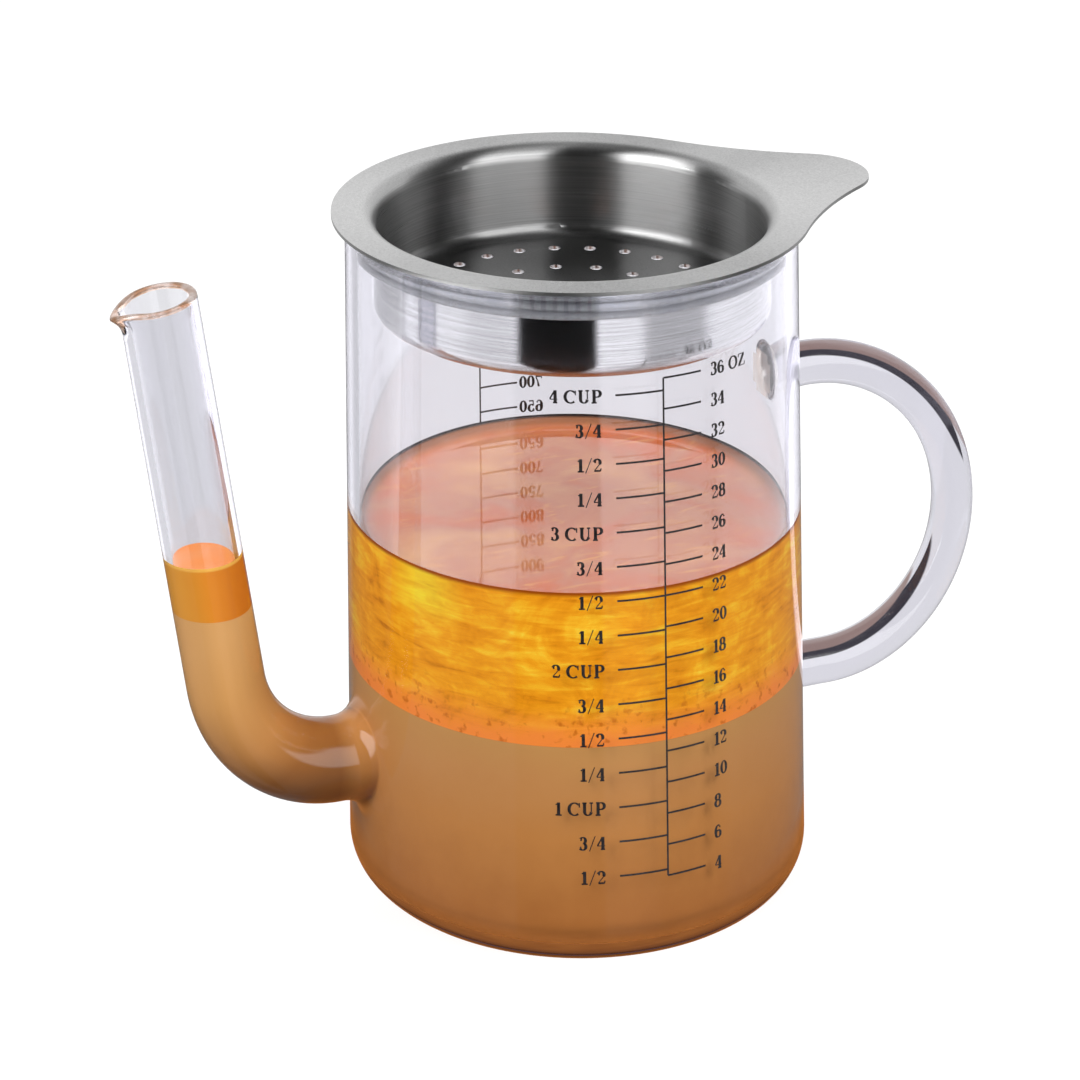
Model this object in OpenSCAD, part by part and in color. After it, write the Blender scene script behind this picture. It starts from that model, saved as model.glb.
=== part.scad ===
// Gravy fat separator: a flame-worked glass jug with a low spout and a rod
// handle, and a pressed steel strainer that hangs in its mouth on a silicone seal.
// The origin is the centre of the foot, +Z is up, the handle is on the +X side
// and the spout on the -X side.

/* [Jug] */
// Outside diameter of the jug
jug_d = 107; // [98:1:125]
// Height of the jug from its foot to its rim
jug_h = 150.5; // [140:0.5:190]
// Thickness of the jug's wall
wall_t = 2.8; // [2:0.1:4]
// Thickness of the jug's floor
floor_t = 4.5; // [3:0.5:8]
// Outside radius between the wall and the foot
foot_r = 8; // [5:0.5:14]
// Inside radius between the wall and the floor
inner_foot_r = 5.5; // [3:0.5:12]

/* [Spout] */
// Outside diameter of the spout tube
spout_d = 18; // [14:0.5:22]
// Thickness of the spout tube's wall
spout_wall_t = 2; // [1.4:0.1:3]
// Height of the tube's axis above the foot where the spout leaves the jug
spout_root_z = 32; // [26:1:50]
// Level run of the tube from its weld to the bend
spout_run = 0.8; // [0.8:0.1:15]
// Bend radius of the tube's axis
spout_bend_r = 26.5; // [22:0.5:40]
// Lean of the upper run away from the jug, in degrees
spout_lean = 9.7; // [3:0.1:20]
// Drop from the jug's rim to the centre of the spout's mouth
spout_drop = 8.5; // [0:0.5:30]
// Radius of the fillet of glass where the spout is welded on
spout_weld_r = 6; // [3:0.5:8]
// Reach of the pouring lip past the tube
lip_reach = 2.5; // [1:0.1:4]
// Radius of the rod-like tip that the lip is drawn out to
lip_r = 2.8; // [2:0.1:4]
// Radius of the groove along the lip
lip_groove_r = 1.7; // [1:0.1:2]

/* [Handle] */
// Diameter of the handle's glass rod
rod_d = 10.2; // [7:0.1:13]
// Drop from the jug's rim to the rod's axis at the upper weld
handle_drop = 44.5; // [30:0.5:60]
// Upward slope of the rod at the upper weld, in degrees
handle_slope = 6.5; // [0:0.5:15]
// Straight run of the rod from the upper weld's fillet to the first bend
handle_run = 0.8; // [0.8:0.1:20]
// Radius of the rod's axis over the shoulder of the handle
shoulder_r = 41; // [30:0.5:60]
// Turn of the shoulder bend, in degrees
shoulder_turn = 52.5; // [30:0.5:80]
// Radius of the rod's axis round the grip, down to the lower weld
grip_r = 35.5; // [25:0.5:45]
// Radius of the fillet of glass at the two handle welds
handle_weld_r = 2.2; // [1:0.1:4]

/* [Strainer] */
// Thickness of the strainer's steel sheet
sheet_t = 0.8; // [0.5:0.1:1.5]
// Reach of the flange past the jug's outside
flange_overhang = 3.2; // [1.5:0.1:6]
// Depth of the cup from the flange's top to its underside
cup_depth = 23; // [16:0.5:40]
// Outside radius of the bend between flange and cup, on its upper side
lip_bend_r = 3.8; // [2:0.1:5]
// Outside radius between the cup's wall and its bottom
cup_corner_r = 3.8; // [2:0.1:8]
// Reach of the tab's tip from the jug's axis
tab_reach = 78.2; // [72:0.2:100]
// Radius of the tab's tip
tab_tip_r = 15; // [8:0.5:20]
// Radius of the hollow sides that run from the flange out to the tab
tab_side_r = 100; // [40:5:160]
// Turn of the strainer in the mouth, away from the handle's line, in degrees
strainer_turn = 2.4; // [-180:0.1:180]

/* [Strainer holes] */
// Diameter of each hole
hole_d = 3; // [1.5:0.1:4]
// Distance from the cup's wall to the outer ring of holes
hole_margin = 10.5; // [6:0.5:14]
// Distance between two rings of holes
ring_pitch = 13; // [8:0.5:14]
// Number of holes in the outer ring
outer_holes = 26; // [12:1:32]
// Number of holes in the middle ring
middle_holes = 15; // [8:1:18]
// Number of holes in the inner ring
inner_holes = 6; // [3:1:8]
// Turn of the hole pattern from the tab, in degrees
hole_turn = 3; // [0:0.5:30]

/* [Seal] */
// Height of the silicone seal ring
seal_h = 7.4; // [5:0.1:12]
// Thickness of the seal between the cup and the jug's wall, ribs included
seal_t = 3.5; // [2:0.1:5]
// Number of ribs round the seal
seal_ribs = 3; // [2:1:4]
// Radius of each rib
seal_rib_r = 0.9; // [0.5:0.1:1.2]

/* [Fits] */
// Gap between the seal's ribs and the jug's wall
seal_gap = 0.15; // [0.05:0.05:0.5]
// Gap between the flange and the jug's rim
seat_gap = 0.1; // [0.05:0.05:0.5]

/* [Hidden] */
$fn = 96;

glass = [0.86, 0.88, 0.91, 0.35];
steel = [0.72, 0.72, 0.71];
silicone = [0.85, 0.87, 0.90, 0.8];

cut = 1; // how far a cutting solid runs past the face it cuts
draw = 0.03; // how much thinner bent glass is than straight, at its radius
lap_turn = 1; // how far a bend laps into its neighbours, in degrees
jug_r = jug_d / 2;
bore_r = jug_r - wall_t;

spout_r = spout_d / 2;
spout_bore_r = spout_r - spout_wall_t;
spout_mid_r = spout_r - spout_wall_t / 2;
spout_rim_r = spout_wall_t / 2;
weld_sink = 1.2; // how far the spout's fillet starts inside the jug's outside
bend_x = weld_sink - jug_r - spout_weld_r - spout_run;
bend_turn = 90 - spout_lean;
root_l = spout_r - jug_r - bend_x; // straight tube at the root, before it is cut to the wall
// end of the bend, on the tube's axis
rise_x = bend_x - spout_bend_r * sin(bend_turn);
rise_z = spout_root_z + spout_bend_r * (1 - cos(bend_turn));
rise_l = (jug_h - spout_drop - rise_z) / cos(spout_lean);
mouth_x = rise_x - rise_l * sin(spout_lean);
lip_tilt = 45; // lean of the lip's tip from the tube's axis
lip_half = lip_r / cos(lip_tilt); // half the lip's length, cut square to the tube

rod_r = rod_d / 2;
rod_sink = rod_r; // how far the rod starts inside the wall before it is cut to it
top_root = [jug_r, jug_h - handle_drop];
top_run = handle_weld_r + handle_run;
top_end = top_root + top_run * heading(handle_slope);
shoulder_c = top_end + shoulder_r * inward(handle_slope);
grip_start = shoulder_c - shoulder_r * inward(handle_slope - shoulder_turn);
grip_c = grip_start + grip_r * inward(handle_slope - shoulder_turn);
grip_turn = 180 + handle_slope - shoulder_turn;
foot_x = grip_c[0];
foot_z = grip_c[1] - grip_r;

flange_r = jug_r + flange_overhang;
flange_z = jug_h + seat_gap;
flange_top = flange_z + sheet_t;
cup_r = bore_r - seal_gap - seal_t;
cup_z = flange_top - cup_depth;
under_bend_r = lip_bend_r - sheet_t;
flat_r = cup_r - sheet_t + lip_bend_r;
outer_ring_r = cup_r - hole_margin;
ring_radii = [outer_ring_r, outer_ring_r - ring_pitch, outer_ring_r - 2 * ring_pitch];
ring_counts = [outer_holes, middle_holes, inner_holes];

// Directions in the upright plane through the handle, at a slope of a degrees
function heading(a) = [cos(a), sin(a)];
function inward(a) = [sin(a), -cos(a)];

// ---- shapes that repeat ----

// Half section of a round vessel with a rounded foot
module vessel_section(r, z0, z1, corner) {
    translate([0, z0]) square([r - corner, z1 - z0]);
    translate([0, z0 + corner]) square([r, z1 - z0 - corner]);
    translate([r - corner, z0 + corner]) circle(corner);
}

// Quarter of a bent sheet, between radii r - t and r, in the quadrant (sx, sy)
module sheet_bend(r, t, sx, sy) {
    intersection() {
        difference() {
            circle(r);
            circle(r - t);
        }
        translate([sx > 0 ? 0 : -r, sy > 0 ? 0 : -r]) square(r);
    }
}

// Bend in the upright plane about the point c. Hot glass draws down a little
// as it is bent, so the bend is thinner by draw and laps into its neighbours.
module upright_bend(c, axis_r, from, turn, r, hollow_r = 0) {
    translate([c[0], 0, c[1]])
        rotate([90, 0, 0])
            rotate([0, 0, from - lap_turn])
                rotate_extrude(angle = turn + 2 * lap_turn)
                    translate([axis_r, 0])
                        difference() {
                            circle(r - draw);
                            if (hollow_r > 0) circle(hollow_r + draw);
                        }
}

// Straight rod of radius r and length l from the point p, rising at a degrees
module upright_rod(p, a, l, r) {
    translate([p[0], 0, p[1]])
        rotate([0, 90 - a, 0])
            cylinder(r = r, h = l);
}

// Trumpet of glass round a rod: its wide end is at the point p, and it narrows
// along a slope of a degrees. It starts inside the rod, at core_r.
module weld_fillet(p, a, r, fillet, core_r = 0) {
    translate([p[0], 0, p[1]])
        rotate([0, 90 - a, 0])
            rotate_extrude()
                difference() {
                    translate([core_r, -fillet]) square([r + fillet - draw - core_r, 2 * fillet]);
                    translate([r + fillet - draw, fillet]) circle(fillet);
                }
}

module solid_jug() {
    translate([0, 0, -cut]) cylinder(r = jug_r, h = jug_h + 2 * cut);
}

// ---- glass jug ----

module jug_vessel() {
    color(glass)
        difference() {
            rotate_extrude() {
                difference() {
                    vessel_section(jug_r, 0, jug_h - wall_t / 2, foot_r);
                    vessel_section(bore_r, floor_t, jug_h + cut, inner_foot_r);
                }
                translate([jug_r - wall_t / 2, jug_h - wall_t / 2]) circle(wall_t / 2);
            }
            translate([-jug_r - cut, 0, spout_root_z])
                rotate([0, 90, 0])
                    cylinder(r = spout_bore_r, h = 2 * wall_t + cut);
        }
}

// The mouth's own frame: its centre at the origin, +Z along the tube's axis,
// -X on the side of the lip
module at_spout_mouth() {
    translate([mouth_x, 0, jug_h - spout_drop])
        rotate([0, -spout_lean, 0])
            children();
}

// Slanted rod that draws the lip out, or the groove along it
module lip_tip(r) {
    translate([lip_half - spout_r - lip_reach, 0, 0])
        rotate([0, -lip_tilt, 0])
            translate([0, 0, -4 * lip_r])
                cylinder(r = r, h = 8 * lip_r);
}

module spout_lip() {
    intersection() {
        lip_tip(lip_r);
        translate([0, 0, -spout_r])
            difference() {
                cylinder(r = 2 * spout_r, h = spout_r + spout_rim_r / 2);
                translate([0, 0, -cut]) cylinder(r = spout_mid_r, h = spout_d);
            }
    }
}

// Upper run of the tube, with its fire-polished rim
module spout_rise() {
    rotate_extrude() {
        translate([spout_bore_r, -rise_l]) square([spout_wall_t, rise_l]);
        translate([spout_mid_r, 0]) circle(spout_rim_r);
    }
}

module spout_tube() {
    color(glass)
        difference() {
            union() {
                translate([bend_x, 0, spout_root_z])
                    rotate([0, 90, 0])
                        difference() {
                            cylinder(r = spout_r, h = root_l);
                            translate([0, 0, -cut]) cylinder(r = spout_bore_r, h = root_l + 2 * cut);
                        }
                upright_bend([bend_x, spout_root_z + spout_bend_r], spout_bend_r,
                    -90 - bend_turn, bend_turn, spout_r, spout_bore_r);
                weld_fillet([weld_sink - jug_r, spout_root_z], 180, spout_r, spout_weld_r, spout_mid_r);
                at_spout_mouth() {
                    spout_rise();
                    spout_lip();
                }
            }
            at_spout_mouth() lip_tip(lip_groove_r);
            solid_jug();
        }
}

module handle_rod() {
    color(glass)
        difference() {
            union() {
                upright_rod(top_root - rod_sink * heading(handle_slope), handle_slope,
                    rod_sink + top_run, rod_r);
                upright_bend(shoulder_c, shoulder_r, 90 + handle_slope - shoulder_turn,
                    shoulder_turn, rod_r - draw);
                upright_bend(grip_c, grip_r, -90, grip_turn, rod_r);
                upright_rod([jug_r - rod_sink, foot_z], 0, foot_x - jug_r + rod_sink, rod_r);
                weld_fillet(top_root, handle_slope, rod_r, handle_weld_r);
                weld_fillet([jug_r, foot_z], 0, rod_r, handle_weld_r);
            }
            solid_jug();
        }
}

// ---- steel strainer and its seal ----

// Outline of the flange with its tab: one hollow curve on each side runs from
// the round flange out to the round tip
module flange_outline() {
    tip_x = tab_reach - tab_tip_r;
    a = flange_r + tab_side_r;
    b = tab_tip_r + tab_side_r;
    side_x = (a * a - b * b + tip_x * tip_x) / (2 * tip_x);
    side_y = sqrt(a * a - side_x * side_x);
    circle(flange_r);
    translate([tip_x, 0]) circle(tab_tip_r);
    difference() {
        polygon([
            [0, 0],
            [side_x, side_y] * flange_r / a,
            [side_x, side_y] * tab_tip_r / b + [tip_x, 0] * tab_side_r / b,
            [tip_x, 0],
            [side_x, -side_y] * tab_tip_r / b + [tip_x, 0] * tab_side_r / b,
            [side_x, -side_y] * flange_r / a,
        ]);
        for (s = [-1, 1])
            translate([side_x, s * side_y]) circle(tab_side_r);
    }
}

// Half section of the drawn cup: bend under the flange, wall, corner and bottom
module cup_section() {
    translate([flat_r, flange_top - lip_bend_r]) sheet_bend(lip_bend_r, sheet_t, -1, 1);
    translate([cup_r - sheet_t, cup_z + cup_corner_r])
        square([sheet_t, cup_depth - lip_bend_r - cup_corner_r]);
    translate([cup_r - cup_corner_r, cup_z + cup_corner_r]) sheet_bend(cup_corner_r, sheet_t, 1, -1);
    translate([0, cup_z]) square([cup_r - cup_corner_r, sheet_t]);
}

module strainer() {
    color(steel)
        rotate([0, 0, strainer_turn])
            difference() {
                union() {
                    translate([0, 0, flange_z])
                        linear_extrude(sheet_t)
                            difference() {
                                flange_outline();
                                circle(flat_r);
                            }
                    rotate_extrude() cup_section();
                }
                for (i = [0 : len(ring_radii) - 1], k = [0 : ring_counts[i] - 1])
                    rotate([0, 0, hole_turn + 360 * k / ring_counts[i]])
                        translate([ring_radii[i], 0, cup_z - cut])
                            cylinder(d = hole_d, h = sheet_t + 2 * cut, $fn = 24);
            }
}

// Half section of the seal: a core tucked up under the flange's bend, and ribs
module seal_section() {
    core_t = seal_t - seal_rib_r;
    rib_z = flange_z - seal_h + seal_rib_r;
    rib_pitch = (seal_h - 2 * seal_rib_r - wall_t / 2) / (seal_ribs - 1);
    difference() {
        translate([cup_r, flange_z - seal_h]) square([core_t, seal_h]);
        difference() {
            translate([cup_r - cut, flange_z - under_bend_r]) square([under_bend_r + cut, under_bend_r + cut]);
            translate([cup_r + under_bend_r, flange_z - under_bend_r]) circle(under_bend_r);
        }
    }
    for (k = [0 : seal_ribs - 1])
        translate([cup_r + core_t, rib_z + k * rib_pitch]) circle(seal_rib_r, $fn = 32);
}

module seal_ring() {
    color(silicone) rotate_extrude() seal_section();
}

jug_vessel();
spout_tube();
handle_rod();
strainer();
seal_ring();
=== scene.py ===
import math

import bmesh
import bpy
from mathutils import Matrix, Vector


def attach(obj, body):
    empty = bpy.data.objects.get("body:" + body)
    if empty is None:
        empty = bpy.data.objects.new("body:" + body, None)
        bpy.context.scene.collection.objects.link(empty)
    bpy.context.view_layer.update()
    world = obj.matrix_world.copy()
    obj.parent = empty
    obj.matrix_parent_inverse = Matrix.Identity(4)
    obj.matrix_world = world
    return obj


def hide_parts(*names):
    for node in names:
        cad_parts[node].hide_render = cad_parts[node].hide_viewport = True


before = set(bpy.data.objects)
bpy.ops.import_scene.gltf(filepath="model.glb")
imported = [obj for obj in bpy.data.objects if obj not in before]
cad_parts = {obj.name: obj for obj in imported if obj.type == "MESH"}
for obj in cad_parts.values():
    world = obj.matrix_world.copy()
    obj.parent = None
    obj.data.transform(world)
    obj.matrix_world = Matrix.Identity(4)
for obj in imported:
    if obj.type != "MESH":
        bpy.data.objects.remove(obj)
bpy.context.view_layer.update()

MM = 0.001

# ---- Camera ----
# A long lens on a view camera: its film stands upright while it looks down at
# the jug, so the jug's walls stay parallel in the picture. The film's sideways
# and upright directions are written out, with the lean of the cropped picture.
eye = Vector((-317.34, -782.68, 433.10)) * MM
film_side = Vector((0.92670, -0.37575, 0.00685))
film_up = Vector((0.00828, -0.00554, 0.99995))
sight_line = Vector((0.33739, 0.85569, -0.39237))
camera = bpy.data.objects.new("camera", bpy.data.cameras.new("camera"))
camera.data.sensor_width = 36
camera.data.lens = 129.6
tripod = bpy.data.objects.new("tripod", None)
bpy.context.collection.objects.link(tripod)
bpy.context.collection.objects.link(camera)
camera.parent = tripod
camera.matrix_parent_inverse = Matrix(
    [(*row, at) for *row, at in zip(film_side, film_up, -sight_line, eye)] + [(0, 0, 0, 1)]
)
bpy.context.scene.camera = camera
bpy.context.scene.view_settings.view_transform = "Standard"

# ---- Glass jug ----
# One body of clear borosilicate glass: a blown vessel, a bent tube for the spout
# and a bent rod for the handle, all flame-welded, so their walls run into each
# other. It stands for the three glass solids.
JUG_R, BORE_R, JUG_H = 53.5, 50.7, 150.5
FLOOR_Z, FOOT_R, INNER_FOOT_R = 4.5, 8.0, 5.5
RIM_R = (JUG_R - BORE_R) / 2
RIM_Z = JUG_H - RIM_R
AROUND = 192  # faces round the vessel
ROWS, WALL_LOW_Z = 80, 10  # even rows of faces up its wall, and where they start
ROW_H = (RIM_Z - WALL_LOW_Z) / ROWS
DISC = (44, 40, 30, 20, 10, 4)  # radii of the rings on the foot and the floor
SPOUT_R, SPOUT_BORE_R, SPOUT_Z = 9.0, 7.0, 32.0
SPOUT_WALL = SPOUT_R - SPOUT_BORE_R
BEND_START, SPOUT_BEND_R, SPOUT_LEAN = 59.7, 26.5, math.radians(9.7)
MOUTH_Z, RISE_STEPS = 142.0, 40
MOUTH_STEPS = 8  # steps round the rounded edge of the mouth
MOUTH_RINGS = 14  # rings of the tube below the mouth that its lip is drawn from
LIP_REACH, LIP_DEPTH, LIP_TURN = 2.4, 5.5, 0.44  # its turn and the next are in radians
DIP, DIP_DEPTH, DIP_TURN = 0.9, 3, 0.40  # how far the rim dips at the lip
LIP_BULGE = 0.15  # the lip is where the tube stands out by more than this
ROD_R, ROD_TOP_Z, ROD_RUN = 5.1, 106.0, 3.0
ROOT_SLOPE = math.radians(6.5)
SHOULDER_R, SHOULDER_TURN, GRIP_R = 41.0, math.radians(52.5), 35.5
ROD_END, END_STEPS = 4, 4  # how far from the wall the rod's rings end at its lower weld, and their steps
ROD_FILLET, SPOUT_FILLET, BORE_FILLET = 2.6, 5.4, 0.8
ROD_HALF, SPOUT_HALF = 6, 10  # half the side of the square that a port opens, in faces
ROD_AROUND, SPOUT_AROUND = 8 * ROD_HALF, 8 * SPOUT_HALF
PORT_EASE = (0.72, 0.46, 0.22, 0)  # rings from a port's square to its circle
FLARE_STEPS = 7


def arc(cx, cz, r, start, end, steps):
    """Points on an arc from start to end degrees, without the first one."""
    angles = [math.radians(start + (end - start) * k / steps) for k in range(1, steps + 1)]
    return [(cx + r * math.cos(a), cz + r * math.sin(a)) for a in angles]


class Skin:
    """Points and faces of one mesh, in mm."""

    def __init__(self):
        self.points, self.faces = [], []

    def ring(self, points):
        start = len(self.points)
        self.points += [tuple(p) for p in points]
        return list(range(start, len(self.points)))

    def lathe(self, profile):
        turns = [math.tau * k / AROUND for k in range(AROUND)]
        return [self.ring([(r * math.cos(t), r * math.sin(t), z) for t in turns]) for r, z in profile]

    def bridge(self, a, b):
        n = len(a)
        self.faces += [(a[k], a[(k + 1) % n], b[(k + 1) % n], b[k]) for k in range(n)]

    def bridge_all(self, rings):
        for a, b in zip(rings, rings[1:]):
            self.bridge(a, b)

    def cap(self, ring, x, y, z):
        (tip,) = self.ring([(x, y, z)])
        self.faces += [(a, b, tip) for a, b in zip(ring, ring[1:] + ring[:1])]

    def close(self, ring, profile):
        """Carries a turned ring on along a profile and closes it at the axis."""
        rings = [ring] + self.lathe(profile)
        self.bridge_all(rings)
        self.cap(rings[-1], 0, 0, profile[-1][1])

    def wall(self, rings, cut):
        """Faces between turned rings, apart from the places that are cut out for ports."""
        for j in range(len(rings) - 1):
            for k in range(AROUND):
                if (j, k) not in cut:
                    k2 = (k + 1) % AROUND
                    self.faces.append((rings[j][k], rings[j][k2], rings[j + 1][k2], rings[j + 1][k]))

    def mirror(self, rings):
        """Turns rings over to -X, where the spout is."""
        for ring in rings:
            for p in ring:
                x, y, z = self.points[p]
                self.points[p] = (-x, y, z)

    def build(self, name, material, smooth=True):
        mesh = bpy.data.meshes.new(name)
        mesh.from_pydata([Vector(p) * MM for p in self.points], [], self.faces)
        shape = bmesh.new()
        shape.from_mesh(mesh)
        bmesh.ops.delete(shape, geom=[v for v in shape.verts if not v.link_faces])
        bmesh.ops.recalc_face_normals(shape, faces=shape.faces)
        shape.to_mesh(mesh)
        shape.free()
        mesh.polygons.foreach_set("use_smooth", [smooth] * len(mesh.polygons))
        mesh.materials.append(material)
        piece = bpy.data.objects.new(name, mesh)
        bpy.context.collection.objects.link(piece)
        return piece


def clock(k, around):
    """Angle of point k round a tube, counted from the corner of a port's square."""
    return math.radians(-135 + 360 * k / around)


def port(skin, rows, row_z, wall_r, side, z0, slope, r, fillet, half):
    """Opens the wall where a tube or rod is welded on.

    The wall's rings of faces end in a square of 2 * half faces a side, and from
    there the skin closes in to a circle and flares along the rod's slope. side
    is 1 for +X and -1 for -X. It returns the last ring and the faces cut out.
    """
    middle_row = min(range(len(row_z)), key=lambda j: abs(row_z[j] - z0))
    middle_turn = 0 if side > 0 else AROUND // 2
    edge = [(u, -half) for u in range(-half, half)] + [(half, v) for v in range(-half, half)]
    edge += [(-u, -v) for u, v in edge]
    corner = [rows[middle_row + v][(middle_turn + side * u) % AROUND] for u, v in edge]
    cut = set()
    for u in range(-half, half):
        for v in range(-half, half):
            u2 = u if side > 0 else u + 1
            cut.add((middle_row + v, (middle_turn + side * u2) % AROUND))
    count = len(edge)

    def on_wall(rho, k, stand_off):
        psi = clock(k, count)
        y, n = rho * math.cos(psi), rho * math.sin(psi)
        reach = (math.sqrt(wall_r**2 - y**2) - wall_r + n * math.sin(slope)) / math.cos(slope)
        along = reach + stand_off
        x = wall_r - n * math.sin(slope) + along * math.cos(slope)
        return side * x, y, z0 + n * math.cos(slope) + along * math.sin(slope)

    rings = [corner]
    circle = [on_wall(r + fillet, k, 0) for k in range(count)]
    for share in PORT_EASE:
        ring = []
        for k, (x, y, z) in enumerate(circle):
            _, gy, gz = skin.points[corner[k]]
            s = math.asin(y / wall_r) * (1 - share) + math.asin(gy / wall_r) * share
            ring.append((side * wall_r * math.cos(s), wall_r * math.sin(s), z * (1 - share) + gz * share))
        rings.append(skin.ring(ring))
    for step in range(1, FLARE_STEPS + 1):
        t = math.radians(90 * step / FLARE_STEPS)
        rho, off = r + fillet * (1 - math.sin(t)), fillet * (1 - math.cos(t))
        rings.append(skin.ring([on_wall(rho, k, off) for k in range(count)]))
    skin.bridge_all(rings)
    return rings[-1], cut


def swept(skin, path, r, around):
    """Rings of radius r square to a path of (x, z, slope) in the upright plane."""
    rings = []
    for x, z, slope in path:
        ring = []
        for k in range(around):
            psi = clock(k, around)
            n = r * math.sin(psi)
            ring.append((x - n * math.sin(slope), r * math.cos(psi), z + n * math.cos(slope)))
        rings.append(skin.ring(ring))
    return rings


def bend(path, r, turn, steps):
    """Adds a bend to the end of a path: r is its radius and turn its angle, down if negative."""
    x, z, slope = path[-1]
    up = 1 if turn > 0 else -1
    cx, cz = x - up * r * math.sin(slope), z + up * r * math.cos(slope)
    for k in range(1, steps + 1):
        a = slope + turn * k / steps
        path.append((cx + up * r * math.sin(a), cz - up * r * math.cos(a), a))


glass_skin = Skin()
outer_z = [WALL_LOW_Z + ROW_H * k for k in range(ROWS + 1)]
outer = glass_skin.lathe([(JUG_R, z) for z in outer_z])
inner = glass_skin.lathe([(BORE_R, z) for z in outer_z])
rim = glass_skin.lathe(arc(JUG_R - RIM_R, RIM_Z, RIM_R, 0, 180, 10)[:-1])
glass_skin.bridge_all([outer[-1]] + rim + [inner[-1]])
foot = [(JUG_R, WALL_LOW_Z - 0.5 * k) for k in range(1, 4)]
foot += [(JUG_R, FOOT_R)] + arc(JUG_R - FOOT_R, FOOT_R, FOOT_R, 0, -90, 14)
glass_skin.close(outer[0], foot + [(r, 0) for r in DISC])
floor = arc(BORE_R - INNER_FOOT_R, FLOOR_Z + INNER_FOOT_R, INNER_FOOT_R, 0, -90, 12)
glass_skin.close(inner[0], floor + [(r, FLOOR_Z) for r in DISC])

# The spout's path runs to +X, and its rings are turned over to -X.
spout_path = [(BEND_START, SPOUT_Z, 0)]
bend(spout_path, SPOUT_BEND_R, math.pi / 2 - SPOUT_LEAN, 30)
rise_x, rise_z, rise_slope = spout_path[-1]
rise = (MOUTH_Z - rise_z) / math.cos(SPOUT_LEAN)
for k in range(1, RISE_STEPS + 1):
    step = rise * (1 - (1 - k / RISE_STEPS) ** 1.5)  # closer together towards the lip
    x, z = rise_x + step * math.sin(SPOUT_LEAN), rise_z + step * math.cos(SPOUT_LEAN)
    spout_path.append((x, z, rise_slope))

start_x, start_z = JUG_R + ROD_RUN * math.cos(ROOT_SLOPE), ROD_TOP_Z + ROD_RUN * math.sin(ROOT_SLOPE)
handle_path = [(start_x, start_z, ROOT_SLOPE)]
bend(handle_path, SHOULDER_R, -SHOULDER_TURN, 24)
bend(handle_path, GRIP_R, -(math.pi + ROOT_SLOPE - SHOULDER_TURN), 60)
grip_end_x, ROD_FOOT_Z, _ = handle_path[-1]
run_out = grip_end_x - JUG_R - ROD_END
for k in range(1, END_STEPS + 1):
    handle_path.append((grip_end_x - run_out * k / END_STEPS, ROD_FOOT_Z, -math.pi))

rod_port = (ROD_R, ROD_FILLET, ROD_HALF)
top_port, top_cut = port(glass_skin, outer, outer_z, JUG_R, 1, ROD_TOP_Z, ROOT_SLOPE, *rod_port)
foot_port, foot_cut = port(glass_skin, outer, outer_z, JUG_R, 1, ROD_FOOT_Z, 0, *rod_port)
tube_port = (SPOUT_R, SPOUT_FILLET, SPOUT_HALF)
spout_port, spout_cut = port(glass_skin, outer, outer_z, JUG_R, -1, SPOUT_Z, 0, *tube_port)
hole_port = (SPOUT_BORE_R, BORE_FILLET, SPOUT_HALF)
bore_port, bore_cut = port(glass_skin, inner, outer_z, BORE_R, -1, SPOUT_Z, 0, *hole_port)
glass_skin.wall(outer, top_cut | foot_cut | spout_cut)
glass_skin.wall(inner, bore_cut)

rod = swept(glass_skin, handle_path, ROD_R, ROD_AROUND)
glass_skin.bridge_all([top_port] + rod)
# The rod comes back to the wall upside down, so the lower port is counted the other way
flipped = [foot_port[(ROD_AROUND * 3 // 4 - k) % ROD_AROUND] for k in range(ROD_AROUND)]
glass_skin.bridge(rod[-1], flipped)

tube = swept(glass_skin, spout_path, SPOUT_R, SPOUT_AROUND)
hollow = swept(glass_skin, spout_path, SPOUT_BORE_R, SPOUT_AROUND)
last_x, last_z, last_slope = spout_path[-1]
mouth_rim = []
for step in range(1, MOUTH_STEPS):
    a = math.pi * step / MOUTH_STEPS
    out = (SPOUT_R + SPOUT_BORE_R) / 2 + SPOUT_WALL / 2 * math.cos(a)
    up = SPOUT_WALL / 2 * math.sin(a)
    at = (last_x + up * math.cos(last_slope), last_z + up * math.sin(last_slope), last_slope)
    mouth_rim += swept(glass_skin, [at], out, SPOUT_AROUND)
glass_skin.mirror(tube + hollow + mouth_rim)
# The lip is drawn out of the soft rim, which dips there
mouth = Vector((-last_x, 0, last_z))
tube_axis = Vector((-math.sin(SPOUT_LEAN), 0, math.cos(SPOUT_LEAN)))
lip_way = Vector((-math.cos(SPOUT_LEAN), 0, -math.sin(SPOUT_LEAN)))
for ring in tube[-MOUTH_RINGS:] + hollow[-MOUTH_RINGS:] + mouth_rim:
    for p in ring:
        v = Vector(glass_skin.points[p]) - mouth
        depth = max(0.0, -v.dot(tube_axis))
        turn = math.atan2(v.y, v.dot(lip_way))
        pull = max(0.0, 1 - depth / LIP_DEPTH) ** 1.8 * math.exp(-((turn / LIP_TURN) ** 2))
        dip = max(0.0, 1 - depth / DIP_DEPTH) * math.exp(-((turn / DIP_TURN) ** 2))
        moved = v + lip_way * pull * LIP_REACH - tube_axis * dip * DIP
        glass_skin.points[p] = tuple(mouth + moved)
glass_skin.bridge_all([spout_port] + tube + mouth_rim + hollow[::-1] + [bore_port])


def linear(code):
    """The linear colour of an sRGB hex code."""
    parts = [int(code[k : k + 2], 16) / 255 for k in (1, 3, 5)]
    return (*(c / 12.92 if c <= 0.04045 else ((c + 0.055) / 1.055) ** 2.4 for c in parts), 1)


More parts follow.
